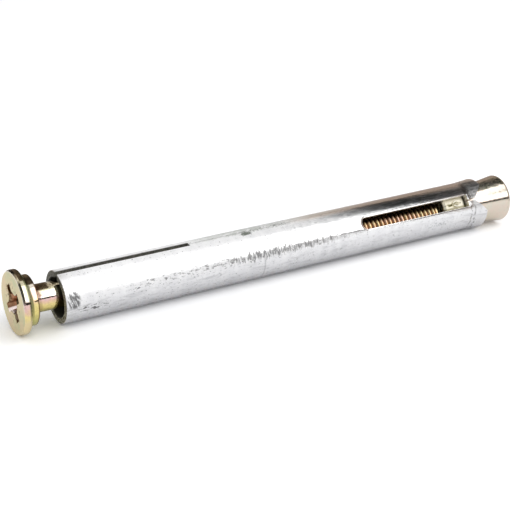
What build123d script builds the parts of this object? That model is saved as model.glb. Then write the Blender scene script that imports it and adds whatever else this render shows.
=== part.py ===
from build123d import *
import math
import os

# Metal frame anchor: a rolled steel sleeve, a cross-recess machine screw lying in it and a cone nut
# gripped in the sleeve's split end. Millimetres. The origin is the centre of the sleeve's mouth, +X
# runs along the sleeve to the nut, +Z is up. The anchor lies as it comes to rest: on the flared end
# of the sleeve and on the rim of the screw's head.

# Driving sizes of the sleeve
sleeve_length = 95.0
wall = 1.25
end_wall = 1.07
mouth_chamfer = 0.12
end_rounding = 0.22
flare_length = 3.6

# Driving sizes of the screw
head_standoff = 8.19
thread_radius = 2.95
thread_length = 32.0
thread_runout = 0.7
shank_radius = 2.6
tip_chamfer = 0.6
tip_to_nut = 0.7
head_thickness = 1.45
collar_length = 1.9
groove_width = 0.5
groove_depth = 0.35
groove_overreach = 0.05
groove_undercut = 0.05
collar_overhang = 0.95
rim_overhang = 1.3
rim_bevel_length = 0.45
rim_bevel_drop = 0.22
rim_rounding = 0.2
collar_rounding = 0.2
neck_fillet = 0.35

# Cross recess in the head
recess_span = 7.2
recess_width = 1.75
recess_depth = 2.9
recess_floor_span = 2.4
recess_floor_width = 0.9
recess_core_side = 4.1
recess_core_floor = 2.1
recess_core_turn = 45
recess_turn = 53.8

# Driving sizes of the cone nut
nut_reach = 6.5
neck_length = 6.1
taper_length = 9.7
neck_chamfer = 0.35
nut_end_rounding = 0.5
nut_end_land = 0.1
bore_countersink = 0.35
key_length = 2.4
key_width = 1.3
key_height = 0.6
key_to_window_end = 1.2

# Clearances
screw_play = 0.8
thread_clearance = 0.05
tip_clearance = 0.03
neck_clearance = 0.1
taper_clearance = 0.035
cone_relief = 0.1

# Cut-outs of the sleeve. Angles are counted from the front, -Y, up over the top.
window_angle = 34.5
window_width = 2.5
window_length = 26.65
window_to_end = 4.6
slit_width = 0.35
notch_depth = 3.0
notch_half_width = 3.0
petals = 2
seam_angle = 84.7
seam_slot_length = 26.8
seam_slot_width = 1.2
seam_line_width = 0.12
seam_line_depth = 0.1

# Sizes that follow
bore_radius = thread_radius + screw_play
sleeve_radius = bore_radius + wall
nut_bore_radius = thread_radius + thread_clearance
neck_radius = bore_radius - neck_clearance
cone_radius = sleeve_radius - cone_relief
nut_end = sleeve_length + nut_reach
taper_end = nut_end - nut_end_rounding - nut_end_land
taper_start = taper_end - taper_length
neck_start = taper_start - neck_length
taper_slope = (cone_radius - neck_radius) / taper_length
seat_start = taper_start + (neck_clearance - taper_clearance) / taper_slope
seat_end_radius = bore_radius + (sleeve_length - seat_start) * taper_slope
flare_radius = seat_end_radius + end_wall
flare_start = sleeve_length - flare_length
window_end = sleeve_length - window_to_end
window_start = window_end - window_length
notch_apex = sleeve_length - notch_depth
collar_radius = bore_radius + collar_overhang
head_radius = collar_radius + rim_overhang
collar_end = head_thickness + collar_length
key_root = nut_bore_radius + thread_clearance
outward = 2 * sleeve_radius
radius_match = 0.01

# The screw rests on its rim, level with the sleeve's flare, and on its tip in the bottom of the bore.
rim_middle = head_thickness / 2
rim_height = head_radius - flare_radius
tip_height = tip_clearance - screw_play
tip_place = Vector(neck_start - tip_to_nut, 0, tip_height)
screw_run = tip_place.X + head_standoff
tilt = math.atan2(rim_height - tip_height, screw_run - rim_middle)
screw_length = screw_run / math.cos(tilt)
thread_start = screw_length - thread_length
screw_direction = Vector(math.cos(tilt), 0, -math.sin(tilt))
head_place = tip_place - screw_direction * screw_length
screw_axis = Axis(head_place, screw_direction)


def radial_plane(angle):
    """The plane through the sleeve's axis that faces outward at this angle."""
    outward_direction = (0, -math.cos(math.radians(angle)), math.sin(math.radians(angle)))
    return Plane(origin=(0, 0, 0), x_dir=(1, 0, 0), z_dir=outward_direction)


def round_edges(edges, radius):
    """The circular edges of this radius, sorted from the head's end to the nut's end."""
    circles = edges.filter_by(GeomType.CIRCLE)
    same = circles.filter_by(lambda edge: math.isclose(edge.radius, radius, abs_tol=radius_match))
    return same.sort_by(Axis.X)


# Sleeve: a rolled tube whose split end is flared over the nut's cone
with BuildPart() as sleeve:
    with BuildSketch(Plane.XZ) as section:
        with BuildLine():
            Polyline(
                (0, bore_radius),
                (seat_start, bore_radius),
                (sleeve_length, seat_end_radius),
                (sleeve_length, flare_radius),
                (flare_start, sleeve_radius),
                (0, sleeve_radius),
                close=True,
            )
        make_face()
        mouth_corners = section.vertices().group_by(Axis.X)[0]
        chamfer(mouth_corners, mouth_chamfer)
        end_corner = section.vertices().sort_by(Axis.Y)[-1]
        fillet(end_corner, end_rounding)
    revolve(axis=Axis.X)

    # Open seam slot from the mouth, and the closed butt seam beyond it
    with BuildSketch(radial_plane(seam_angle)):
        with Locations((seam_slot_length / 2, 0)):
            Rectangle(seam_slot_length, seam_slot_width)
    extrude(amount=outward, mode=Mode.SUBTRACT)
    with BuildSketch(radial_plane(seam_angle).offset(sleeve_radius - seam_line_depth)):
        with Locations((seam_slot_length, 0)):
            Rectangle(
                sleeve_length - seam_slot_length,
                seam_line_width,
                align=(Align.MIN, Align.CENTER),
            )
    extrude(amount=outward, mode=Mode.SUBTRACT)

    # Each window runs out through a slit into a V notch, which frees the two petals
    for petal in range(petals):
        with BuildSketch(radial_plane(window_angle + 360 / petals * petal)):
            with Locations((window_start + window_width / 2, 0)):
                Circle(window_width / 2)
                Rectangle(
                    window_length - window_width / 2,
                    window_width,
                    align=(Align.MIN, Align.CENTER),
                )
            with Locations((window_end, 0)):
                Rectangle(
                    notch_apex - window_end + slit_width,
                    slit_width,
                    align=(Align.MIN, Align.CENTER),
                )
            with BuildLine():
                Polyline(
                    (notch_apex, 0),
                    (sleeve_length, notch_half_width),
                    (sleeve_length + end_wall, notch_half_width),
                    (sleeve_length + end_wall, -notch_half_width),
                    (sleeve_length, -notch_half_width),
                    close=True,
                )
            make_face()
        extrude(amount=outward, mode=Mode.SUBTRACT)
sleeve.part.label = "sleeve"

# Screw: a cold-headed blank with a rimmed disc head, a collar, a plain shank and a threaded end. The
# groove between disc and collar reaches past the collar, so that the disc's underside can seat flat.
screw_plane = Plane(origin=head_place, x_dir=screw_direction, z_dir=(0, -1, 0))
with BuildPart() as screw:
    with BuildSketch(screw_plane) as blank:
        with BuildLine():
            Polyline(
                (0, 0),
                (0, head_radius - rim_bevel_drop),
                (rim_bevel_length, head_radius),
                (head_thickness, head_radius),
                (head_thickness, collar_radius + groove_overreach),
                (head_thickness - groove_undercut, collar_radius - groove_depth),
                (head_thickness + groove_width, collar_radius),
                (collar_end, collar_radius),
                (collar_end, shank_radius),
                (thread_start - thread_runout, shank_radius),
                (thread_start, thread_radius),
                (screw_length - tip_chamfer, thread_radius),
                (screw_length, thread_radius - tip_chamfer),
                (screw_length, 0),
                close=True,
            )
        make_face()
    revolve(axis=screw_axis)

    fillet(round_edges(screw.edges(), head_radius)[-1], rim_rounding)
    fillet(round_edges(screw.edges(), collar_radius)[-1], collar_rounding)
    fillet(round_edges(screw.edges(), shank_radius)[0], neck_fillet)

    # Cross recess: two crossed tapering wings, and a tapering core turned between them
    arm_angle = math.radians(recess_turn)
    arm_direction = Vector(0, math.cos(arm_angle), math.sin(arm_angle))
    recess_plane = Plane(origin=head_place, x_dir=arm_direction, z_dir=screw_direction)
    for quarter in (0, 90):
        with BuildSketch(recess_plane):
            Rectangle(recess_span, recess_width, rotation=quarter)
        with BuildSketch(recess_plane.offset(recess_depth)):
            Rectangle(recess_floor_span, recess_floor_width, rotation=quarter)
        loft(mode=Mode.SUBTRACT)
    with BuildSketch(recess_plane):
        Rectangle(recess_core_side, recess_core_side, rotation=recess_core_turn)
    with BuildSketch(recess_plane.offset(recess_depth)):
        Rectangle(recess_core_floor, recess_core_floor, rotation=recess_core_turn)
    loft(mode=Mode.SUBTRACT)
screw.part.label = "screw"

# Cone nut: a plain neck inside the sleeve, a long taper that spreads the petals, and two keys
with BuildPart() as cone_nut:
    with BuildSketch(Plane.XZ) as nut_section:
        with BuildLine():
            Polyline(
                (neck_start, nut_bore_radius),
                (neck_start, neck_radius),
                (taper_start, neck_radius),
                (taper_end, cone_radius),
                (nut_end, cone_radius),
                (nut_end, nut_bore_radius),
                close=True,
            )
        make_face()
        rear_corners = nut_section.vertices().group_by(Axis.X)[-1]
        fillet(rear_corners.sort_by(Axis.Y)[-1], nut_end_rounding)
    revolve(axis=Axis.X)
    chamfer(round_edges(cone_nut.edges(), neck_radius)[0], neck_chamfer)
    chamfer(round_edges(cone_nut.edges(), nut_bore_radius)[-1], bore_countersink)

    # A lens-shaped key stands in each window and keeps the nut from turning
    key_end = window_end - key_to_window_end
    key_start = key_end - key_length
    key_middle = (key_start + key_end) / 2
    for petal in range(petals):
        key_plane = radial_plane(window_angle + 360 / petals * petal)
        with BuildSketch(key_plane.offset(key_root)):
            with BuildLine():
                ThreePointArc((key_start, 0), (key_middle, key_width / 2), (key_end, 0))
                ThreePointArc((key_end, 0), (key_middle, -key_width / 2), (key_start, 0))
            make_face()
        extrude(amount=neck_radius + key_height - key_root)
cone_nut.part.label = "cone_nut"

os.makedirs("parts", exist_ok=True)
export_step(sleeve.part, "parts/sleeve.step")
export_step(screw.part, "parts/screw.step")
export_step(cone_nut.part, "parts/cone_nut.step")
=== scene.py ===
"""Looks of the metal frame anchor: a zinc-plated sleeve, a yellow-passivated screw and a cone nut."""
import math

import bmesh
import bpy
from mathutils import Matrix, Vector


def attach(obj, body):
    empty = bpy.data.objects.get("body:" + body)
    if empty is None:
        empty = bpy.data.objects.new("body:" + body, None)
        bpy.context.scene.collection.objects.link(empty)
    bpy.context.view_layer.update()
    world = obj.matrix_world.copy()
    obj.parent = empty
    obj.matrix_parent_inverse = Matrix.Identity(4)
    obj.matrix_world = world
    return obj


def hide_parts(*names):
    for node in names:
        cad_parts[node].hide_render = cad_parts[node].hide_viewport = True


MM = 0.001
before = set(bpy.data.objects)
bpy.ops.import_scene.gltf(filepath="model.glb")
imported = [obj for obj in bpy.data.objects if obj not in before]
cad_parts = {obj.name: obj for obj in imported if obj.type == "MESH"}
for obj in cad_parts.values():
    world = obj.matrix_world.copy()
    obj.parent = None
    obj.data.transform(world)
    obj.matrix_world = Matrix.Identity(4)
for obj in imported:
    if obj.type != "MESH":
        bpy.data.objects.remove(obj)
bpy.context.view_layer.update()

# Sizes of the anchor, in millimetres, as the frame has them
SLEEVE_RADIUS = 5.0
BORE_RADIUS = 3.75
FLOOR_HEIGHT = -5.2447
SCREW_TILT = math.radians(0.951241)
HEAD_PLACE = Vector((-8.19, 0.0, 0.767347))
SCREW_PLACE = Matrix.Translation(HEAD_PLACE) @ Matrix.Rotation(SCREW_TILT, 4, "Y")
SCREW_LENGTH = 92.6028
HEAD_RADIUS = 6.0
BEVEL_LENGTH = 0.45
SHANK_RADIUS = 2.6
THREAD_START = SCREW_LENGTH - 32.0
CREST_RADIUS = 2.95
ROOT_RADIUS = 2.4
PITCH = 1.0
TIP_CHAMFER = 0.6
WING_UP = (0.0, 0.5906, 0.8070)
WING_SIDE = (0.0, 0.8070, -0.5906)
NUT_THREAD_START = 85.4
NUT_THREAD_END = 101.0
NUT_BORE_RADIUS = 3.0
NUT_CREST_RADIUS = 2.5

# Window and key of the sleeve's open side
WINDOW_ANGLE = 34.5
WINDOW_WIDTH = 2.5
WINDOW_ROUND_CENTRE = 65.0
WINDOW_END = 90.4
KEY_MIDDLE = 88.0
KEY_LENGTH = 2.4
KEY_WIDTH = 1.3

# How the meshes are made, in millimetres where they are lengths
THREAD_STEPS = 48
THREAD_LEAD = 2.0
THREAD_RISE = 1.4
SPARE_TURNS = 3
STUB_LENGTH = 1.2
LINING_LEAD = 1.5
LINING_WALL = 0.02
BEND_STEPS = 24
SMALL_GAP = 0.0005
TURN_GAP = 0.002
LINE_MATCH = 0.02
EDGE_MARGIN = 0.05
SHARP_ANGLE = math.radians(32.0)

# Camera at the photograph's angle
CAMERA_PLACE = (-77.716, -205.993, 101.487)
CAMERA_AZIMUTH = -30.081
CAMERA_ELEVATION = 23.256
LENS = 93.4
SENSOR = 36.0
SHIFT_RIGHT = 0.3
SHIFT_UP = -0.1
PIXEL = 1 / 512

# Soft box, in millimetres: it leans over the anchor from the front and the right
BOX_LOW_MIDDLE = Vector((193.0, -348.0, 120.0))
BOX_OUTWARD = Vector((0.3135, -0.640, 0.7014)).normalized()
BOX_EDGE = Vector((0.937, 0.325, -0.129))
BOX_ACROSS = (BOX_EDGE - BOX_OUTWARD * BOX_EDGE.dot(BOX_OUTWARD)).normalized()
BOX_UP = BOX_OUTWARD.cross(BOX_ACROSS)
BOX_WIDTH = 420.0
BOX_HEIGHT = 374.0
BOX_CENTRE = BOX_LOW_MIDDLE + BOX_UP * (BOX_HEIGHT / 2)
BOX_FRAME_LEFT = 95.0
BOX_FRAME_RIGHT = 75.0
BOX_POWER = 0.62
BOX_FRAME_RISE = (0.0, 100.0)

# The room's light and the floor
ROOM_LIGHT = 0.77
FLOOR_REACH = 2500.0
FLOOR_COLOUR = (0.90, 0.90, 0.915)
FLOOR_SEEN = (1.175, 1.18, 1.188)

# Dark cards that only reflections show. The side card's outline is in Y and Z. A curtain has its
# first and last angle round the head, then its lowest and highest edge. A rise is the pair of
# heights between which a card's tone changes.
SIDE_CARD_PLACE = 168.0
SIDE_CARD_OUTLINE = (
    (-110.0, FLOOR_HEIGHT),
    (320.0, FLOOR_HEIGHT),
    (320.0, 40.0),
    (141.0, 122.0),
    (79.0, 176.0),
    (14.0, 172.0),
    (-8.0, 150.0),
    (-30.0, 138.0),
    (-110.0, 124.0),
)
SIDE_CARD_RISE = (70.0, 118.0)
SIDE_CARD_FADE = (120.0, 220.0)
HEAD_CARD_RADIUS = 14.0
HEAD_CARD_START = math.radians(83.0)
HEAD_CARD_SWEEP = 103.0
HEAD_CARD_EDGES = (-3.0, 6.5)
HEAD_CARD_RISE = (0.0, 12.0)
CURTAIN_RADIUS = 150.0
CURTAIN_RISE = (30.0, 120.0)
CURTAINS = (
    (84.0, 112.0, 12.0, 150.0),
    (172.0, 211.0, 115.0, 600.0),
    (211.0, 242.0, 24.0, 400.0),
)

# Marks on the sleeve's skin. A patch has its middle and half-length along the sleeve in millimetres,
# then its middle and half-width in degrees, counted from the front up over the top.
MOUTH_SCUFFS = (1.5, 1.7, 11.0, 26.0)
LOW_MARKS = (5.0, 4.5, -12.0, 13.0)
SPECKLED_PATCH = (82.0, 4.5, -6.0, 12.0)
CURLS = (43.0, 8.0, 86.0, 12.0)
STAIN = (38.8, 2.2, 77.0, 11.0)
FLARE_CORNER = (92.6, 3.4, 55.0, 50.0)

# Lines round the sleeve: their place along it and half their width
MIDDLE_RING = (40.9, 0.28)
FRONT_CREASE = (90.8, 0.3)
REAR_CREASE = (91.8, 0.35)

# How thick the band of scuffs is along the sleeve, by shares of SCUFF_SPAN
SCUFF_SPAN = 100.0
SCUFF_BAND = (
    (0.09, 0.0),
    (0.14, 0.45),
    (0.24, 0.5),
    (0.32, 0.7),
    (0.37, 1.0),
    (0.50, 1.0),
    (0.56, 0.7),
    (0.66, 0.0),
)

# Tones of the zinc plate
ZINC_DULL = (0.84, 0.84, 0.85)
ZINC_BRIGHT = (0.97, 0.97, 0.97)
ZINC_LOW_SHADE = (0.45, 0.45, 0.46)
ZINC_BACK_SHADE = (0.46, 0.465, 0.48)
FILM_GREY = (0.4, 0.4, 0.41)
SPECK_GREY = (0.2, 0.2, 0.2)
DIRT_GREY = (0.36, 0.36, 0.38)
SCUFF_GREY = (0.15, 0.15, 0.15)
PATCH_GREY = (0.3, 0.33, 0.33)
STREAK_REFLECTION_GREY = (0.17, 0.18, 0.18)
WARM_REFLECTION = (0.74, 0.63, 0.54)
HAZE_GREEN = (0.42, 0.45, 0.4)
CURL_GREEN = (0.2, 0.22, 0.2)
STAIN_GREEN = (0.12, 0.14, 0.11)
RING_GREY = (0.3, 0.3, 0.3)
CREASE_GREY = (0.16, 0.16, 0.15)
CORNER_SCRATCH_SHADE = (0.17, 0.17, 0.17)
CUT_DARK_SHADE = (0.035, 0.03, 0.02)
CUT_OLIVE = (0.2, 0.19, 0.13)
CUT_PALE = (0.62, 0.6, 0.52)
CUT_TOP_SHADE = (0.26, 0.26, 0.24)
CUT_WINDOW = (0.78, 0.74, 0.68)
BORE_SHADE = (0.12, 0.12, 0.11)
BORE_PALE = (0.82, 0.76, 0.66)

# Tones of the yellow passivation, by shares of a full turn round the screw: its tint, with a paler band
# as painted highlight and darker stops on the top as painted shade
TINT_LIGHT_AND_SHADE = (
    (0.10, (0.46, 0.42, 0.16)),
    (0.34, (0.62, 0.60, 0.24)),
    (0.41, (0.90, 0.76, 0.28)),
    (0.48, (0.95, 0.78, 0.34)),
    (0.52, (0.90, 0.62, 0.45)),
    (0.55, (0.84, 0.56, 0.54)),
    (0.58, (0.84, 0.76, 0.66)),
    (0.65, (0.80, 0.76, 0.55)),
    (0.69, (0.50, 0.42, 0.28)),
    (0.76, (0.40, 0.34, 0.24)),
)
TOP_SHADE_MOTTLE = (0.16, 0.12, 0.07)
RIM_REAR_SHADE = (0.16, 0.17, 0.07)
RIM_BEIGE = (0.80, 0.66, 0.50)
COLLAR_REAR_SHADE = (0.22, 0.13, 0.05)
COLLAR_TOP_SHADE = (0.07, 0.05, 0.045)
SHANK_START_SHADE = (0.20, 0.10, 0.07)
FACE_TONES = ((0.3, (0.64, 0.65, 0.40)), (0.5, (0.80, 0.69, 0.42)), (0.7, (0.82, 0.66, 0.43)))
DENT_BROWN = (0.16, 0.12, 0.05)
EDGE_HIGHLIGHT = (0.96, 0.92, 0.82)
RECESS_WALL_SHADE_TONES = ((0.40, (0.10, 0.05, 0.02)), (0.56, (0.30, 0.20, 0.12)), (0.66, (0.80, 0.70, 0.55)))
SIDE_WALL_SHADE = (0.34, 0.17, 0.10)
LOW_WALL_LIGHT = (0.86, 0.78, 0.64)
WALL_PINK_LIGHT = (0.98, 0.84, 0.80)
DEEP_SHADE_TONES = ((0.35, (0.24, 0.08, 0.03)), (0.65, (0.52, 0.25, 0.15)))
GROOVE_SHADE = (0.05, 0.05, 0.025)
THREAD_TONES = ((0.35, (1.0, 0.84, 0.48)), (0.5, (1.0, 0.72, 0.42)), (0.65, (1.0, 0.68, 0.52)))
ROOT_SHADE = (0.16, 0.05, 0.012)
UPPER_BROWN = (0.08, 0.04, 0.02)

# Tones of the pale plating
PALE_TONES = ((0.35, (0.73, 0.67, 0.55)), (0.5, (0.77, 0.66, 0.56)), (0.65, (0.73, 0.68, 0.58)))
SPOT_GREEN = (0.13, 0.14, 0.07)
FLECK_BROWN = (0.3, 0.28, 0.2)
NECK_LIT_CREAM = (1.0, 0.97, 0.82)
NECK_SHADE = (0.05, 0.045, 0.03)
KEY_RIM_HIGHLIGHT = (1.0, 0.98, 0.86)
KEY_TONES = ((0.42, (0.20, 0.18, 0.08)), (0.58, (0.92, 0.88, 0.70)))
NECK_KHAKI = (0.34, 0.31, 0.16)

# Tones of the cards, at their foot and higher up
SIDE_CARD_TONES = ((0.40, 0.34, 0.30), (0.035, 0.035, 0.035))
SIDE_CARD_PALE = (0.62, 0.62, 0.60)
HEAD_CARD_TONES = ((0.30, 0.23, 0.17), (0.17, 0.14, 0.11))
CURTAIN_TONES = ((0.03, 0.028, 0.02), (0.015, 0.015, 0.012))
BOX_FRAME_TONES = ((0.03, 0.02, 0.012), (0.02, 0.015, 0.01))


class Paint:
    """A node material and short calls that add nodes to it."""

    def __init__(self, name):
        self.material = bpy.data.materials.new(name)
        self.material.use_nodes = True
        self.tree = self.material.node_tree
        self.tree.nodes.clear()
        self.output = self.tree.nodes.new("ShaderNodeOutputMaterial")

    def node(self, kind, **settings):
        made = self.tree.nodes.new(kind)
        for key, value in settings.items():
            setattr(made, key, value)
        return made

    def put(self, socket, value):
        """Links a socket, or sets a plain value on it."""
        if isinstance(value, bpy.types.NodeSocket):
            self.tree.links.new(value, socket)
        else:
            socket.default_value = value

    def math(self, operation, *values, clamp=False):
        made = self.node("ShaderNodeMath", operation=operation, use_clamp=clamp)
        for socket, value in zip(made.inputs, values):
            self.put(socket, value)
        return made.outputs[0]

    def times(self, product, *factors):
        for factor in factors:
            product = self.math("MULTIPLY", product, factor)
        return product

    def plus(self, a, b, clamp=False):
        return self.math("ADD", a, b, clamp=clamp)

    def minus(self, a, b, clamp=False):
        return self.math("SUBTRACT", a, b, clamp=clamp)

    def larger(self, a, b):
        return self.math("MAXIMUM", a, b)

    def length(self, a, b):
        return self.math("SQRT", self.plus(self.times(a, a), self.times(b, b)))

    def span(self, value, low, high, out_low=0.0, out_high=1.0, smooth=True):
        """Maps low..high to out_low..out_high, held at both ends."""
        kind = "SMOOTHSTEP" if smooth else "LINEAR"
        made = self.node("ShaderNodeMapRange", interpolation_type=kind)
        for socket, number in zip(made.inputs, (value, low, high, out_low, out_high)):
            self.put(socket, number)
        return made.outputs[0]

    def bell(self, value, centre, half_width):
        """1 at centre, falling softly to 0 at half_width on both sides."""
        away = self.math("ABSOLUTE", self.minus(value, centre))
        return self.span(away, 0.0, half_width, 1.0, 0.0)

    def zone(self, x, angle, patch):
        """1 in the middle of a patch of the skin, falling softly to 0 at its outline."""
        x_middle, x_half, angle_middle, angle_half = patch
        return self.times(self.bell(x, x_middle, x_half), self.bell(angle, angle_middle, angle_half))

    def noise(self, where, scale, detail=2.0, roughness=0.5, distortion=0.0):
        made = self.node("ShaderNodeTexNoise")
        self.put(made.inputs["Vector"], where)
        self.put(made.inputs["Scale"], scale)
        self.put(made.inputs["Detail"], detail)
        self.put(made.inputs["Roughness"], roughness)
        self.put(made.inputs["Distortion"], distortion)
        return made.outputs["Fac"]

    def stretch(self, where, x, y, z):
        made = self.node("ShaderNodeVectorMath", operation="MULTIPLY")
        self.put(made.inputs[0], where)
        self.put(made.inputs[1], (x, y, z))
        return made.outputs[0]

    def strokes(self, skin, along, around, detail, roughness, distortion=0.0, scale=1.0):
        """Noise on the unrolled skin, with a scale of its own along the sleeve and round it."""
        drawn_out = self.stretch(skin, along, around, 1.0)
        return self.noise(drawn_out, scale, detail, roughness, distortion)

    def dot(self, where, direction):
        made = self.node("ShaderNodeVectorMath", operation="DOT_PRODUCT")
        self.put(made.inputs[0], where)
        self.put(made.inputs[1], direction)
        return made.outputs["Value"]

    def joined(self, x, y, z):
        made = self.node("ShaderNodeCombineXYZ")
        for socket, value in zip(made.inputs, (x, y, z)):
            self.put(socket, value)
        return made.outputs[0]

    def blend(self, amount, first, second):
        """Mixes two colours, each a socket or a plain red, green and blue."""
        made = self.node("ShaderNodeMix", data_type="RGBA")
        self.put(made.inputs[0], amount)
        for socket, colour in zip(made.inputs[6:8], (first, second)):
            self.put(socket, (*colour, 1.0) if isinstance(colour, tuple) else colour)
        return made.outputs[2]

    def ramp(self, value, stops):
        made = self.node("ShaderNodeValToRGB")
        elements = made.color_ramp.elements
        while len(elements) < len(stops):
            elements.new(0.5)
        for element, (place, colour) in zip(elements, stops):
            element.position = place
            element.color = (*colour, 1.0)
        self.put(made.inputs[0], value)
        return made.outputs[0]

    def curve(self, value, full, stops):
        """A value along a line of stops, each a share of full and a height."""
        greys = [(share, (height, height, height)) for share, height in stops]
        return self.ramp(self.math("DIVIDE", value, full), greys)

    def places(self, origin=(0.0, 0.0, 0.0), turn=0.0):
        """Object coordinates in millimetres from origin, turned about the Y axis."""
        coordinates = self.node("ShaderNodeTexCoord")
        mapping = self.node("ShaderNodeMapping", vector_type="TEXTURE")
        self.put(mapping.inputs["Vector"], coordinates.outputs["Object"])
        self.put(mapping.inputs["Location"], [c * MM for c in origin])
        self.put(mapping.inputs["Rotation"], (0.0, turn, 0.0))
        self.put(mapping.inputs["Scale"], (MM, MM, MM))
        where = mapping.outputs["Vector"]
        split = self.node("ShaderNodeSeparateXYZ")
        self.put(split.inputs[0], where)
        x, y, z = split.outputs
        turned = self.math("ARCTAN2", z, self.times(y, -1.0))
        angle = self.times(turned, 180.0 / math.pi)
        return where, x, self.length(y, z), angle

    def bump(self, height):
        """A normal from a height in millimetres."""
        made = self.node("ShaderNodeBump")
        self.put(made.inputs["Strength"], 1.0)
        self.put(made.inputs["Distance"], MM)
        self.put(made.inputs["Height"], height)
        return made.outputs[0]

    def metal(self, colour, roughness, normal):
        shader = self.node("ShaderNodeBsdfPrincipled")
        self.put(shader.inputs["Base Color"], colour)
        self.put(shader.inputs["Roughness"], roughness)
        self.put(shader.inputs["Metallic"], 1.0)
        self.put(shader.inputs["Normal"], normal)
        self.put(self.output.inputs[0], shader.outputs[0])
        return self.material


def zinc_ground(paint, skin, angle):
    """Cloudy bright zinc with painted shade low down, brushed and darker on the back as painted shade,
    with specks and a little dirt.
    """
    cloud = paint.strokes(skin, 0.5, 0.12, 3.0, 0.55)
    colour = paint.ramp(cloud, ((0.3, ZINC_DULL), (0.7, ZINC_BRIGHT)))
    # Painted shade: greyer towards the bottom, where the shaded floor is reflected
    colour = paint.blend(paint.span(angle, 15.0, -55.0, 0.0, 0.6), colour, ZINC_LOW_SHADE)

    # Painted shade: the back is darker, under brushed streaks of its own
    behind = paint.larger(paint.span(angle, 100.0, 150.0), paint.span(angle, -65.0, -105.0))
    brushed = paint.span(paint.strokes(skin, 0.15, 1.6, 4.0, 0.6), 0.3, 0.7, 0.45, 0.85)
    colour = paint.blend(paint.times(behind, brushed), colour, ZINC_BACK_SHADE)

    film = paint.span(paint.strokes(skin, 0.22, 1.1, 4.0, 0.65, 0.6), 0.48, 0.68)
    film = paint.times(film, paint.span(angle, 14.0, -8.0, 0.0, 0.38))
    colour = paint.blend(film, colour, FILM_GREY)

    speck = paint.span(paint.strokes(skin, 1.0, 1.6, 3.0, 0.75, scale=1.4), 0.60, 0.67)
    colour = paint.blend(paint.times(speck, 0.7), colour, SPECK_GREY)
    dirt = paint.span(paint.strokes(skin, 0.6, 1.3, 4.0, 0.75, scale=1.7), 0.55, 0.70)
    dirt = paint.times(dirt, paint.span(angle, 32.0, 2.0, 0.0, 0.45))
    return paint.blend(dirt, colour, DIRT_GREY)


def zinc_scuffs(paint, skin, x, angle):
    """A band of scuffs along the front, of strokes that turn upright towards the middle."""
    strength = paint.curve(x, SCUFF_SPAN, SCUFF_BAND)
    middle = paint.span(x, 14.0, 32.0, 11.0, 17.0)
    half_width = paint.span(x, 34.0, 54.0, 22.0, 15.0)
    off_band = paint.math("DIVIDE", paint.minus(angle, middle), half_width)
    band = paint.times(paint.bell(off_band, 0.0, 1.0), strength)

    lengthwise = paint.strokes(skin, 0.9, 2.6, 4.0, 0.7, 0.5)
    across = paint.strokes(skin, 2.4, 0.75, 4.0, 0.7, 0.5)
    upright = paint.span(x, 31.0, 36.0)
    level = paint.minus(1.0, upright)
    stroke = paint.math("MULTIPLY_ADD", lengthwise, level, paint.times(across, upright))
    band_edge = paint.times(paint.minus(1.0, band), 0.2)
    scuff = paint.span(paint.minus(stroke, band_edge), 0.42, 0.53)
    return paint.times(scuff, paint.span(band, 0.0, 0.35))


def zinc_mouth_marks(paint, skin, slant, x, angle):
    """Scuffs that slant across the front at the mouth, and level marks low behind them."""
    slanting = paint.span(paint.strokes(slant, 2.3, 0.55, 3.0, 0.65, 0.4), 0.44, 0.54)
    at_mouth = paint.span(paint.zone(x, angle, MOUTH_SCUFFS), 0.0, 0.45)
    level = paint.span(paint.strokes(skin, 0.7, 2.6, 3.0, 0.65, 0.6), 0.52, 0.6)
    low_down = paint.span(paint.zone(x, angle, LOW_MARKS), 0.0, 0.7)
    return paint.larger(paint.times(slanting, at_mouth), paint.times(level, low_down))


def zinc_top(paint, skin, x, angle, colour):
    """Painted dark reflections as streaks on the top towards the nut, a painted warm reflection above
    them, and a stain in green haze.
    """
    # Painted dark reflection: streaks darken the top beside the window
    near_window = paint.times(paint.bell(angle, 67.0, 17.0), paint.span(x, 61.0, 74.0))
    streak = paint.span(paint.strokes(skin, 0.35, 1.7, 4.0, 0.65, 0.5), 0.38, 0.56)
    colour = paint.blend(paint.times(streak, near_window, 0.62), colour, STREAK_REFLECTION_GREY)

    # Painted reflection: a warm brown cast over the top
    over_top = paint.span(angle, 135.0, 108.0)
    warm = paint.times(paint.span(angle, 70.0, 84.0, 0.0, 0.7), paint.span(x, 46.0, 56.0), over_top)
    colour = paint.blend(warm, colour, WARM_REFLECTION)

    hazy = paint.times(paint.bell(x, 38.0, 16.0), paint.span(angle, 76.0, 84.0), over_top)
    haze = paint.span(paint.strokes(skin, 0.5, 0.5, 3.0, 0.6, 1.0), 0.3, 0.6, 0.0, 0.6)
    colour = paint.blend(paint.times(haze, hazy), colour, HAZE_GREEN)

    curl = paint.bell(paint.noise(skin, 0.6, 1.0, 0.5, 1.5), 0.5, 0.06)
    curled = paint.span(paint.zone(x, angle, CURLS), 0.0, 0.4, 0.0, 0.7)
    colour = paint.blend(paint.times(curl, curled), colour, CURL_GREEN)

    stained = paint.zone(x, angle, STAIN)
    blotch = paint.noise(skin, 2.2, 3.0, 0.7)
    stain = paint.math("MULTIPLY_ADD", blotch, 1.8, paint.minus(stained, 0.9))
    stain = paint.times(paint.span(stain, 0.35, 0.65), paint.span(stained, 0.0, 0.2), 0.9)
    return paint.blend(stain, colour, STAIN_GREEN)


def crease_lines(paint, skin, x):
    """Two wandering creases round the sleeve, where the petals start to flare."""
    wander = paint.times(paint.minus(paint.noise(skin, 0.6, 2.0, 0.5), 0.5), 1.2)
    wandered = paint.plus(x, wander)
    return paint.larger(paint.bell(wandered, *FRONT_CREASE), paint.bell(wandered, *REAR_CREASE))


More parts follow.
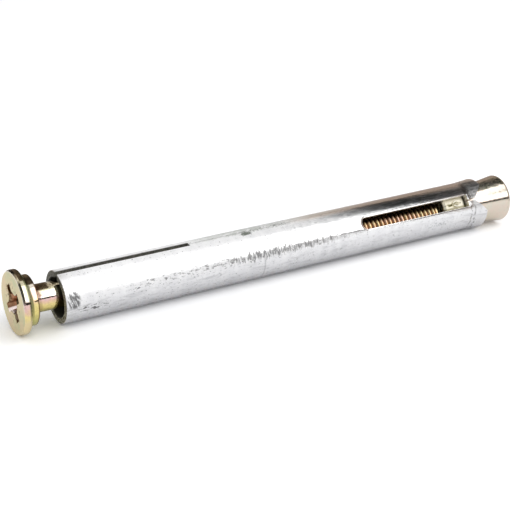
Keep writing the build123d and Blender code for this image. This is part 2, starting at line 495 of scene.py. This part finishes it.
def zinc_rings(paint, skin, slant, x, angle, creases, colour):
    """A faint ring round the middle, broken creases, and a scratched corner on the flare darkened by
    painted shade.
    """
    ring = paint.times(paint.bell(x, *MIDDLE_RING), paint.span(angle, 34.0, 24.0), 0.4)
    colour = paint.blend(ring, colour, RING_GREY)
    broken = paint.span(paint.noise(skin, 1.9, 3.0, 0.7), 0.44, 0.56)
    colour = paint.blend(paint.times(creases, broken, 0.8), colour, CREASE_GREY)

    # Scratches on the flare's upper corner, darkened further as painted shade where the soft box
    # reflects
    corner = paint.span(paint.zone(x, angle, FLARE_CORNER), 0.0, 0.3)
    scratched = paint.span(paint.strokes(slant, 1.0, 3.0, 3.0, 0.7, 0.8), 0.42, 0.58, 0.97, 0.6)
    upper_petal = paint.span(angle, 36.0, 46.0, 0.55, 1.0)
    return paint.blend(paint.times(corner, scratched, upper_petal), colour, CORNER_SCRATCH_SHADE)


def zinc_cut_tone(paint, where, x, radius, angle):
    """Cut faces and the bore: grainy, with painted shade darkening them at the mouth and on the upper
    cut faces, pale towards the window.
    """
    # Grain on the cut faces, kept dark at the mouth as painted shade
    cut = paint.ramp(
        paint.noise(where, 2.6, 4.0, 0.75),
        ((0.36, CUT_DARK_SHADE), (0.48, CUT_OLIVE), (0.58, CUT_PALE)),
    )
    # Painted shade on the upper cut faces
    cut = paint.blend(paint.span(angle, 40.0, 62.0, 0.0, 0.7), cut, CUT_TOP_SHADE)
    cut = paint.blend(paint.span(x, 28.0, 60.0), cut, CUT_WINDOW)
    # Painted shade: the bore darkens towards the unlit mouth
    bore_tone = paint.blend(paint.span(x, 20.0, 50.0), BORE_SHADE, BORE_PALE)
    in_bore = paint.span(radius, BORE_RADIUS + 0.2, BORE_RADIUS + 0.07)
    return paint.blend(in_bore, cut, bore_tone)


def zinc_relief(paint, where, x, angle, worn, creases):
    """The skin ripples a little, and rolls over at the window's edges. Depths in millimetres."""
    off_middle = paint.math("RADIANS", paint.minus(angle, WINDOW_ANGLE))
    aside = paint.times(paint.math("SINE", off_middle), SLEEVE_RADIUS)
    before = paint.larger(paint.minus(WINDOW_ROUND_CENTRE, x), 0.0)
    reach = paint.minus(paint.length(aside, before), WINDOW_WIDTH / 2)
    roll = paint.span(paint.larger(reach, paint.minus(x, WINDOW_END)), 0.0, 0.3)
    ripple = paint.noise(paint.stretch(where, 0.25, 1.0, 1.0), 0.9, 3.0, 0.55)
    grain = paint.noise(where, 5.0, 3.0, 0.6)
    height = paint.times(ripple, 0.05)
    for layer, depth in ((grain, 0.008), (worn, -0.03), (creases, -0.012), (roll, 0.11)):
        height = paint.plus(height, paint.times(layer, depth))
    return paint.bump(height)


def zinc_plate():
    """Rolled steel under bright zinc: matte towards the mouth, glossier towards the nut."""
    paint = Paint("zinc_plate")
    where, x, radius, angle = paint.places()
    around = paint.times(angle, math.radians(SLEEVE_RADIUS))
    skin = paint.joined(x, around, 0.0)
    slant = paint.joined(paint.plus(x, paint.times(around, 0.3)), around, 0.0)

    colour = zinc_ground(paint, skin, angle)
    scuffs = paint.times(zinc_scuffs(paint, skin, x, angle), 0.9)
    worn = paint.larger(scuffs, zinc_mouth_marks(paint, skin, slant, x, angle))
    colour = paint.blend(paint.times(worn, 0.86), colour, SCUFF_GREY)
    speckled = paint.span(paint.noise(skin, 2.6, 3.0, 0.7), 0.5, 0.62)
    patch = paint.span(paint.zone(x, angle, SPECKLED_PATCH), 0.0, 0.7, 0.0, 0.6)
    colour = paint.blend(paint.times(speckled, patch), colour, PATCH_GREY)
    colour = zinc_top(paint, skin, x, angle, colour)
    creases = crease_lines(paint, skin, x)
    colour = zinc_rings(paint, skin, slant, x, angle, creases, colour)

    # Cut faces and the bore are rougher than the rolled skin, and darker, partly as painted shade
    inside = paint.span(radius, SLEEVE_RADIUS - 0.05, SLEEVE_RADIUS - 0.14)
    before_flare = paint.minus(1.0, paint.span(x, 91.0, 92.0))
    inside = paint.times(inside, before_flare)
    colour = paint.blend(inside, colour, zinc_cut_tone(paint, where, x, radius, angle))

    roughness = paint.span(x, 15.0, 78.0, 0.42, 0.13)
    roughness = paint.plus(roughness, paint.span(x, 90.6, 92.0, 0.0, 0.2))
    roughness = paint.plus(roughness, paint.times(worn, 0.25))
    roughness = paint.plus(roughness, paint.times(inside, 0.3), clamp=True)
    normal = zinc_relief(paint, where, x, angle, worn, creases)
    return paint.metal(colour, roughness, normal)


def passivate_tint_and_shade(paint, where, along, angle):
    """The tint that runs round the screw, with a painted highlight band and mottled painted shade on
    top.
    """
    drift = paint.minus(paint.noise(where, 0.3, 3.0, 0.55, 0.6), 0.5)
    turned = paint.plus(angle, paint.times(drift, 45.0))
    on_collar = paint.times(paint.span(along, 1.7, 1.9), paint.span(along, 3.5, 3.4))
    turned = paint.minus(turned, paint.times(on_collar, 24.0))
    # Painted light: a pale band where the highlight falls, darker stops on the top
    sheen = paint.ramp(paint.span(turned, -180.0, 180.0, smooth=False), TINT_LIGHT_AND_SHADE)
    # Painted shade on the top, mottled
    mottle = paint.span(paint.noise(where, 1.7, 3.0, 0.7), 0.44, 0.6)
    mottle = paint.times(mottle, paint.span(angle, 52.0, 66.0, 0.12, 0.8))
    return paint.blend(mottle, sheen, TOP_SHADE_MOTTLE)


def rim_and_collar(paint, where, along, radius, angle, colour):
    """Painted shade in olive at the rear of the rim, beige low on it, painted shade in brown and dark
    on the collar and where the shank starts.
    """
    # Painted shade at the rear of the rim, by the groove
    rear_rim = paint.times(
        paint.span(along, 0.95, 1.2),
        paint.span(along, 2.4, 2.15),
        paint.span(angle, -45.0, 10.0, 0.0, 0.85),
    )
    colour = paint.blend(rear_rim, colour, RIM_REAR_SHADE)
    low_rim = paint.times(paint.span(radius, 5.3, 5.6), paint.span(angle, -2.0, -22.0, 0.0, 0.6))
    colour = paint.blend(low_rim, colour, RIM_BEIGE)

    collar = paint.times(paint.span(radius, 4.0, 4.3), paint.span(along, 1.9, 2.1))
    # Painted shade at the rear of the collar, and on its top
    rear_collar = paint.times(collar, paint.span(along, 3.0, 3.15, 0.0, 0.85))
    colour = paint.blend(rear_collar, colour, COLLAR_REAR_SHADE)
    top_collar = paint.times(collar, paint.bell(angle, 75.0, 18.0), 0.85)
    colour = paint.blend(top_collar, colour, COLLAR_TOP_SHADE)

    # Painted shade where the shank leaves the collar
    ragged = paint.math("MULTIPLY_ADD", paint.noise(where, 1.1, 3.0, 0.65), 1.6, along)
    leaving = paint.times(
        paint.span(along, 3.95, 4.05),
        paint.span(ragged, 5.7, 5.0),
        paint.span(radius, 3.0, 2.8),
        paint.span(angle, 12.0, 34.0, 0.4, 0.9),
    )
    return paint.blend(leaving, colour, SHANK_START_SHADE)


def disc_face(paint, where, radius, angle):
    """Matte face of the disc with a green cast in places, dents round the recess, and a painted
    highlight along its edge.
    """
    tone = paint.ramp(paint.noise(where, 0.3, 3.0, 0.6), FACE_TONES)
    dent = paint.span(paint.noise(where, 1.6, 3.0, 0.75), 0.555, 0.63)
    dent = paint.times(dent, paint.span(radius, 4.3, 3.3))
    near_recess = paint.span(radius, 5.4, 3.4, 0.25, 0.8)
    tone = paint.blend(paint.times(dent, near_recess), tone, DENT_BROWN)
    # Painted highlight along the face's outer edge
    edge = paint.times(paint.span(radius, 5.55, 5.7), paint.span(angle, -5.0, 15.0), 0.7)
    return paint.blend(edge, tone, EDGE_HIGHLIGHT), dent


def recess_light_and_shade(paint, where, along, radius, colour):
    """The recess in painted light and shade: red-brown painted shade deep down and a dark upper wing,
    one wing's end lit pink and the low wing paler as painted light.
    """
    recess = paint.times(paint.span(radius, 3.75, 3.7), paint.span(along, 3.3, 3.1))
    wall = paint.times(recess, paint.span(along, 0.03, 0.12))
    up_wing = paint.dot(where, WING_UP)
    side_wing = paint.dot(where, WING_SIDE)

    # Painted shade on the recess walls, brown at the side end
    tone = paint.ramp(paint.noise(where, 1.3, 3.0, 0.6), RECESS_WALL_SHADE_TONES)
    side_end = paint.span(side_wing, 1.9, 2.4, 0.0, 0.5)
    tone = paint.blend(side_end, tone, SIDE_WALL_SHADE)
    low_end = paint.times(paint.span(up_wing, -1.5, -1.9), paint.span(up_wing, -3.1, -2.8), 0.4)
    # Painted light on the low end and one pink end
    tone = paint.blend(low_end, tone, LOW_WALL_LIGHT)
    pink_end = paint.times(paint.span(side_wing, 1.1, 1.5), paint.span(up_wing, 0.05, -0.2))
    tone = paint.blend(pink_end, tone, WALL_PINK_LIGHT)
    colour = paint.blend(wall, colour, tone)

    # Painted shade deep in the recess
    deep = paint.ramp(paint.noise(where, 0.8, 3.0, 0.6), DEEP_SHADE_TONES)
    core = paint.times(paint.span(along, 0.2, 0.9), paint.span(radius, 2.9, 2.3))
    core = paint.times(core, paint.minus(recess, pink_end, clamp=True))
    colour = paint.blend(core, colour, deep)
    low_wall = paint.times(wall, paint.span(up_wing, 0.7, 0.2))
    return colour, low_wall


def thread_tone(paint, where, radius, angle):
    """Orange crests, roots darkened as painted shade, and painted shade on the upper side."""
    tone = paint.ramp(paint.noise(where, 0.7, 2.0, 0.5), THREAD_TONES)
    # Painted shade in the thread's roots
    root = paint.span(radius, 2.83, 2.57, 0.0, 0.93)
    tone = paint.blend(root, tone, ROOT_SHADE)
    upper = paint.times(paint.span(angle, 42.0, 60.0, 0.0, 0.85), paint.span(angle, 150.0, 120.0))
    return paint.blend(upper, tone, UPPER_BROWN)


def yellow_passivate():
    """Yellow passivated zinc: the tint runs through pink, orange and yellow round the screw, with
    painted highlights and painted shade in places.
    """
    paint = Paint("yellow_passivate")
    where, along, radius, angle = paint.places(HEAD_PLACE, SCREW_TILT)
    colour = passivate_tint_and_shade(paint, where, along, angle)
    colour = rim_and_collar(paint, where, along, radius, angle, colour)
    face = paint.span(along, 0.12, 0.02)
    face_tone, dent = disc_face(paint, where, radius, angle)
    colour = paint.blend(face, colour, face_tone)
    colour, low_wall = recess_light_and_shade(paint, where, along, radius, colour)
    # Painted shade in the groove between the disc and the collar
    groove = paint.times(paint.bell(along, 1.62, 0.36), paint.span(radius, 4.69, 4.64))
    colour = paint.blend(groove, colour, GROOVE_SHADE)
    thread = paint.span(along, THREAD_START - 1.0, THREAD_START)
    colour = paint.blend(thread, colour, thread_tone(paint, where, radius, angle))

    grain = paint.noise(where, 4.0, 3.0, 0.6)
    bevel = paint.times(paint.span(radius, 5.74, 5.8), paint.span(along, 0.46, 0.42))
    roughness = paint.span(grain, 0.3, 0.7, 0.05, 0.11)
    for area, rougher in ((face, 0.3), (thread, 0.24), (bevel, 0.10), (low_wall, 0.2)):
        roughness = paint.plus(roughness, paint.times(area, rougher))
    soft = paint.noise(where, 1.0, 2.0)
    height = paint.plus(paint.times(grain, 0.004), paint.times(soft, 0.02))
    height = paint.minus(height, paint.times(dent, face, 0.04))
    return paint.metal(colour, roughness, paint.bump(height))


def window_key(paint, where, x, radius, angle, neck, colour):
    """The neck in the window is painted light in cream, with painted shade at the window's end and
    khaki low down; its key has a painted highlight round its rim and a mottled eye.
    """
    off_middle = paint.math("RADIANS", paint.minus(angle, WINDOW_ANGLE))
    aside = paint.math("ABSOLUTE", paint.times(paint.math("SINE", off_middle), radius))
    share = paint.math("DIVIDE", paint.minus(x, KEY_MIDDLE), KEY_LENGTH / 2)
    off_key = paint.plus(aside, paint.times(share, share, KEY_WIDTH / 2))
    # Painted light on the neck, fading to painted shade towards the window's end
    neck_tone = paint.blend(paint.span(x, 89.7, 90.2), NECK_LIT_CREAM, NECK_SHADE)
    colour = paint.blend(neck, colour, neck_tone)
    # Painted highlight on the key's rim
    on_key = paint.times(paint.span(radius, 4.0, 4.15), neck)
    colour = paint.blend(on_key, colour, KEY_RIM_HIGHLIGHT)

    # The eye runs on from the key's top as a tapering tail along the neck
    key_top = paint.times(paint.span(off_key, 0.50, 0.40), on_key)
    tail = paint.math("ABSOLUTE", paint.math("DIVIDE", paint.minus(x, 86.4), 1.7))
    tail = paint.math("MULTIPLY_ADD", tail, 0.5, aside)
    eye = paint.larger(key_top, paint.times(paint.span(tail, 0.5, 0.35), neck))
    mottle = paint.noise(paint.stretch(where, 0.5, 1.6, 1.6), 1.5, 2.0, 0.6)
    colour = paint.blend(eye, colour, paint.ramp(mottle, KEY_TONES))
    low_side = paint.times(paint.span(angle, 27.0, 22.0, 0.0, 0.7), neck)
    return paint.blend(low_side, colour, NECK_KHAKI)


def pale_plate():
    """Pale plating of the cone nut: greenish spots on top, pinkish below."""
    paint = Paint("pale_plate")
    where, x, radius, angle = paint.places()
    colour = paint.ramp(paint.noise(where, 0.3, 2.0, 0.5, 0.6), PALE_TONES)
    high = paint.times(
        paint.span(angle, 53.0, 60.0),
        paint.span(angle, 178.0, 160.0),
        paint.span(angle, 90.0, 80.0, 0.3, 1.0),
    )
    spot = paint.noise(paint.stretch(where, 0.8, 1.3, 1.3), 1.3, 4.0, 0.72)
    spot = paint.times(paint.span(spot, 0.44, 0.57), high)
    colour = paint.blend(paint.times(spot, 0.8), colour, SPOT_GREEN)
    fleck = paint.span(paint.noise(where, 2.0, 3.0, 0.7), 0.62, 0.7)
    colour = paint.blend(paint.times(fleck, 0.4), colour, FLECK_BROWN)
    neck = paint.span(x, 90.9, 90.3)
    colour = window_key(paint, where, x, radius, angle, neck, colour)

    grain = paint.noise(where, 4.0, 3.0, 0.6)
    roughness = paint.plus(paint.span(grain, 0.3, 0.7, 0.1, 0.18), paint.times(neck, 0.25))
    soft = paint.noise(where, 0.9, 2.0)
    height = paint.plus(paint.times(grain, 0.005), paint.times(soft, 0.02))
    height = paint.minus(height, paint.times(spot, 0.006))
    height = paint.times(height, paint.math("MULTIPLY_ADD", neck, -0.85, 1.0))
    return paint.metal(colour, roughness, paint.bump(height))


def finish_mesh(shape, name, material, creases=(), rounded=()):
    """Turns millimetres into metres, marks which edges are sharp and makes the object."""
    bmesh.ops.scale(shape, vec=(MM, MM, MM), verts=shape.verts)
    bmesh.ops.recalc_face_normals(shape, faces=shape.faces)
    for face in shape.faces:
        face.smooth = True
    for edge in shape.edges:
        edge.smooth = len(edge.link_faces) == 2 and edge.calc_face_angle(0.0) < SHARP_ANGLE
    for edge in rounded:
        edge.smooth = True
    for edge in creases:
        edge.smooth = False
    return placed_object(shape, name, material)


def placed_object(shape, name, material):
    """Makes an object at the origin from a mesh in metres."""
    mesh = bpy.data.meshes.new(name)
    shape.to_mesh(mesh)
    shape.free()
    mesh.materials.append(material)
    piece = bpy.data.objects.new(name, mesh)
    bpy.context.scene.collection.objects.link(piece)
    return piece


def fill_ends(shape):
    """Closes every open rim with a face."""
    rims = [edge for edge in shape.edges if edge.is_boundary]
    bmesh.ops.holes_fill(shape, edges=rims, sides=0)


def thread_skin(shape, start, turns, root, crest):
    """Winds one thread's profile round the X axis, one pitch for each turn."""
    fall = (crest - root) / 8
    outline = [
        (0.0, root),
        (PITCH * 0.10, root),
        (PITCH * 0.36, crest - fall),
        (PITCH * 0.45, crest),
        (PITCH * 0.55, crest),
        (PITCH * 0.64, crest - fall),
        (PITCH * 0.90, root),
        (PITCH, root),
    ]
    points = [shape.verts.new((start + along, 0.0, radius)) for along, radius in outline]
    profile = [shape.edges.new(pair) for pair in zip(points, points[1:])]
    bmesh.ops.spin(
        shape,
        geom=points + profile,
        cent=(0.0, 0.0, 0.0),
        axis=(1.0, 0.0, 0.0),
        dvec=(PITCH / THREAD_STEPS, 0.0, 0.0),
        angle=math.tau * turns,
        steps=THREAD_STEPS * turns,
        use_merge=False,
    )
    bmesh.ops.remove_doubles(shape, verts=shape.verts, dist=TURN_GAP)


def cut_off(shape, place, direction):
    """Takes away what lies beyond a plane across the X axis."""
    everything = list(shape.verts) + list(shape.edges) + list(shape.faces)
    bmesh.ops.bisect_plane(
        shape,
        geom=everything,
        plane_co=(place, 0.0, 0.0),
        plane_no=(direction, 0.0, 0.0),
        clear_outer=True,
        dist=SMALL_GAP,
    )


def on_bevel_line(place):
    """True where the bevel of the disc's rim meets its round side, in the screw's own axes."""
    on_rim = math.hypot(place.y, place.z) > HEAD_RADIUS - EDGE_MARGIN
    return on_rim and abs(place.x - BEVEL_LENGTH) < LINE_MATCH


def on_thread(place):
    """True on the wound thread, clear of the tip's flat end."""
    return THREAD_START < place.x < SCREW_LENGTH - EDGE_MARGIN


def wound_thread():
    """The screw's threaded end as a closed mesh, with a stub that sinks into the shank."""
    thread = bmesh.new()
    start = THREAD_START - PITCH
    turns = int(SCREW_LENGTH - THREAD_START) + SPARE_TURNS
    thread_skin(thread, THREAD_START - THREAD_LEAD, turns, ROOT_RADIUS, CREST_RADIUS)
    cut_off(thread, start, -1.0)
    cut_off(thread, SCREW_LENGTH, 1.0)
    for vert in thread.verts:
        along = vert.co.x
        across = Vector((0.0, vert.co.y, vert.co.z))
        rise = min(max((along - start) / THREAD_RISE, 0.0), 1.0)
        radius = SHANK_RADIUS + (across.length - SHANK_RADIUS) * rise
        radius = min(radius, CREST_RADIUS - TIP_CHAMFER + SCREW_LENGTH - along)
        vert.co = Vector((along, 0.0, 0.0)) + across.normalized() * radius
    start_rim = [e for e in thread.edges if e.is_boundary and e.verts[0].co.x < THREAD_START]
    stub = bmesh.ops.extrude_edge_only(thread, edges=start_rim)
    stub_points = [part for part in stub["geom"] if isinstance(part, bmesh.types.BMVert)]
    bmesh.ops.translate(thread, vec=(-STUB_LENGTH, 0.0, 0.0), verts=stub_points)
    fill_ends(thread)
    return thread


def screw_piece(material):
    """The frame's head and shank, with a wound thread in place of the plain threaded end."""
    shape = bmesh.new()
    shape.from_mesh(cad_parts["screw"].data)
    bmesh.ops.scale(shape, vec=(1 / MM, 1 / MM, 1 / MM), verts=shape.verts)
    bmesh.ops.remove_doubles(shape, verts=shape.verts, dist=SMALL_GAP)
    bmesh.ops.transform(shape, matrix=SCREW_PLACE.inverted(), verts=shape.verts)
    cut_off(shape, THREAD_START - THREAD_LEAD, 1.0)
    fill_ends(shape)

    thread = wound_thread()
    joined = bpy.data.meshes.new("thread")
    thread.to_mesh(joined)
    thread.free()
    shape.from_mesh(joined)
    bpy.data.meshes.remove(joined)
    rim_line = [edge for edge in shape.edges if all(on_bevel_line(vert.co) for vert in edge.verts)]
    wound = [edge for edge in shape.edges if all(on_thread(vert.co) for vert in edge.verts)]
    bmesh.ops.transform(shape, matrix=SCREW_PLACE, verts=shape.verts)
    piece = finish_mesh(shape, "threaded_screw", material, creases=rim_line, rounded=wound)
    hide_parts("screw")
    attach(piece, "screw_body")


def nut_thread_piece(material):
    """The internal thread of the cone nut, as a thin threaded lining of its bore."""
    lining = bmesh.new()
    start = NUT_THREAD_START
    end = NUT_THREAD_END
    middle = (start + end) / 2
    turns = int(end - start) + SPARE_TURNS
    thread_skin(lining, start - LINING_LEAD, turns, NUT_BORE_RADIUS - LINING_WALL, NUT_CREST_RADIUS)
    cut_off(lining, start, -1.0)
    cut_off(lining, end, 1.0)
    rims = [edge for edge in lining.edges if edge.is_boundary]
    outer = bmesh.ops.create_cone(
        lining,
        cap_ends=False,
        segments=THREAD_STEPS,
        radius1=NUT_BORE_RADIUS + LINING_WALL,
        radius2=NUT_BORE_RADIUS + LINING_WALL,
        depth=end - start,
        matrix=Matrix.Translation((middle, 0.0, 0.0)) @ Matrix.Rotation(math.pi / 2, 4, "Y"),
    )
    rims += list({e for v in outer["verts"] for e in v.link_edges if e.is_boundary})
    for left in (True, False):
        ring = [edge for edge in rims if (edge.verts[0].co.x < middle) == left]
        bmesh.ops.bridge_loops(lining, edges=ring)
    piece = finish_mesh(lining, "nut_thread", material)
    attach(piece, "sleeve_body")


def stage_sheet(shape, name, material):
    """Makes a stage sheet from a mesh in millimetres."""
    bmesh.ops.scale(shape, vec=(MM, MM, MM), verts=shape.verts)
    sheet = placed_object(shape, name, material)
    return sheet


def plain_sheet(name, corners, material):
    """A flat stage sheet through these corners, in millimetres."""
    shape = bmesh.new()
    shape.faces.new([shape.verts.new(corner) for corner in corners])
    return stage_sheet(shape, name, material)


def bent_sheet(name, centre, axis, first, sweep, edges, material):
    """A stage sheet that is part of a cylinder, spun from its first point round an axis."""
    shape = bmesh.new()
    axis = Vector(axis)
    ends = [shape.verts.new(Vector(centre) + Vector(first) + axis * reach) for reach in edges]
    side = shape.edges.new(ends)
    bmesh.ops.spin(
        shape,
        geom=[*ends, side],
        cent=centre,
        axis=axis,
        angle=math.radians(sweep),
        steps=BEND_STEPS,
        use_merge=False,
    )
    return stage_sheet(shape, name, material)


def floor_finish():
    """Pale floor; the camera sees it white outside the anchor's shadow."""
    paint = Paint("pale_floor")
    path = paint.node("ShaderNodeLightPath")
    colour = paint.blend(path.outputs["Is Camera Ray"], FLOOR_COLOUR, FLOOR_SEEN)
    shader = paint.node("ShaderNodeBsdfDiffuse")
    paint.put(shader.inputs["Color"], colour)
    paint.put(paint.output.inputs[0], shader.outputs[0])
    return paint.material


def card_finish(name, rise, tones, fade=None):
    """A dark card that changes as it rises, and grows pale along Y where it has a fade."""
    paint = Paint(name)
    coordinates = paint.node("ShaderNodeTexCoord")
    split = paint.node("ShaderNodeSeparateXYZ")
    paint.put(split.inputs[0], coordinates.outputs["Object"])
    height = paint.span(split.outputs[2], rise[0] * MM, rise[1] * MM)
    colour = paint.blend(height, *tones)
    if fade:
        paleness = paint.span(split.outputs[1], fade[0] * MM, fade[1] * MM)
        colour = paint.blend(paleness, colour, SIDE_CARD_PALE)
    shader = paint.node("ShaderNodeEmission")
    paint.put(shader.inputs["Color"], colour)
    paint.put(paint.output.inputs[0], shader.outputs[0])
    return paint.material


def only_in_reflections(sheet):
    sheet.visible_camera = False
    sheet.visible_diffuse = False
    sheet.visible_shadow = False
    sheet.visible_transmission = False
    sheet.visible_volume_scatter = False


def build_floor():
    reach = FLOOR_REACH
    corners = [(-reach, -reach), (reach, -reach), (reach, reach), (-reach, reach)]
    plain_sheet("floor", [(x, y, FLOOR_HEIGHT) for x, y in corners], floor_finish())


def build_cards():
    """The dark things round the anchor that its metal reflects."""
    side = card_finish("side_card", SIDE_CARD_RISE, SIDE_CARD_TONES, SIDE_CARD_FADE)
    wall = [(SIDE_CARD_PLACE, y, z) for y, z in SIDE_CARD_OUTLINE]
    only_in_reflections(plain_sheet("side_card", wall, side))

    brown = card_finish("head_card", HEAD_CARD_RISE, HEAD_CARD_TONES)
    first = Vector((0.0, -math.cos(HEAD_CARD_START), math.sin(HEAD_CARD_START))) * HEAD_CARD_RADIUS
    only_in_reflections(
        bent_sheet("head_card", (0, 0, 0), (-1, 0, 0), first, HEAD_CARD_SWEEP, HEAD_CARD_EDGES, brown)
    )

    # Dark curtains on the left, which the disc's bevel and the recess reflect
    dark = card_finish("left_card", CURTAIN_RISE, CURTAIN_TONES)
    for start, end, low, high in CURTAINS:
        turn = math.radians(start)
        first = Vector((math.cos(turn), math.sin(turn), 0.0)) * CURTAIN_RADIUS
        only_in_reflections(
            bent_sheet("left_card", HEAD_PLACE, (0, 0, 1), first, end - start, (low, high), dark)
        )

    # The dark frame along the lower edge of the soft box
    frame_dark = card_finish("box_frame", BOX_FRAME_RISE, BOX_FRAME_TONES)
    left = BOX_LOW_MIDDLE - BOX_ACROSS * (BOX_WIDTH / 2)
    right = BOX_LOW_MIDDLE + BOX_ACROSS * (BOX_WIDTH / 2)
    frame_corners = [left, right, right - BOX_UP * BOX_FRAME_RIGHT, left - BOX_UP * BOX_FRAME_LEFT]
    only_in_reflections(plain_sheet("box_frame", frame_corners, frame_dark))


def build_room():
    """A plain room: white where the camera, gloss or glass sees it, and softer as light."""
    world = bpy.data.worlds.new("studio")
    bpy.context.scene.world = world
    world.use_nodes = True
    tree = world.node_tree
    tree.nodes.clear()
    path = tree.nodes.new("ShaderNodeLightPath")
    plain = tree.nodes.new("ShaderNodeBackground")
    plain.inputs["Strength"].default_value = ROOM_LIGHT
    white = tree.nodes.new("ShaderNodeBackground")
    white.inputs["Strength"].default_value = 1.0
    for background in (plain, white):
        background.inputs["Color"].default_value = (1.0, 1.0, 1.0, 1.0)
    also = tree.nodes.new("ShaderNodeMath")
    also.operation = "ADD"
    seen = tree.nodes.new("ShaderNodeMath")
    seen.operation = "ADD"
    seen.use_clamp = True
    mix = tree.nodes.new("ShaderNodeMixShader")
    out = tree.nodes.new("ShaderNodeOutputWorld")
    tree.links.new(path.outputs["Is Camera Ray"], also.inputs[0])
    tree.links.new(path.outputs["Is Glossy Ray"], also.inputs[1])
    tree.links.new(also.outputs[0], seen.inputs[0])
    tree.links.new(path.outputs["Is Transmission Ray"], seen.inputs[1])
    tree.links.new(seen.outputs[0], mix.inputs[0])
    tree.links.new(plain.outputs[0], mix.inputs[1])
    tree.links.new(white.outputs[0], mix.inputs[2])
    tree.links.new(mix.outputs[0], out.inputs[0])


def build_soft_box():
    lamp = bpy.data.lights.new("soft_box", "AREA")
    lamp.shape = "RECTANGLE"
    lamp.size = BOX_WIDTH * MM
    lamp.size_y = BOX_HEIGHT * MM
    lamp.energy = BOX_POWER
    holder = bpy.data.objects.new("soft_box", lamp)
    turned = Matrix((BOX_ACROSS, BOX_UP, BOX_OUTWARD)).transposed()
    holder.matrix_world = Matrix.Translation(BOX_CENTRE * MM) @ turned.to_4x4()
    bpy.context.scene.collection.objects.link(holder)


def build_camera():
    lens = bpy.data.cameras.new("camera")
    lens.sensor_fit = "HORIZONTAL"
    lens.sensor_width = SENSOR
    lens.lens = LENS
    lens.shift_x = SHIFT_RIGHT * PIXEL
    lens.shift_y = SHIFT_UP * PIXEL
    lens.clip_start = 0.01
    camera = bpy.data.objects.new("camera", lens)
    camera.location = [c * MM for c in CAMERA_PLACE]
    camera.rotation_euler = (math.radians(90.0 - CAMERA_ELEVATION), 0.0, math.radians(CAMERA_AZIMUTH))
    bpy.context.scene.collection.objects.link(camera)
    bpy.context.scene.camera = camera


def give_finish(node, material):
    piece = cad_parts[node]
    piece.data.materials.clear()
    piece.data.materials.append(material)


give_finish("sleeve", zinc_plate())
pale = pale_plate()
give_finish("cone_nut", pale)
screw_piece(yellow_passivate())
nut_thread_piece(pale)
build_floor()
build_cards()
build_room()
build_soft_box()
build_camera()
bpy.context.scene.view_settings.view_transform = "Standard"
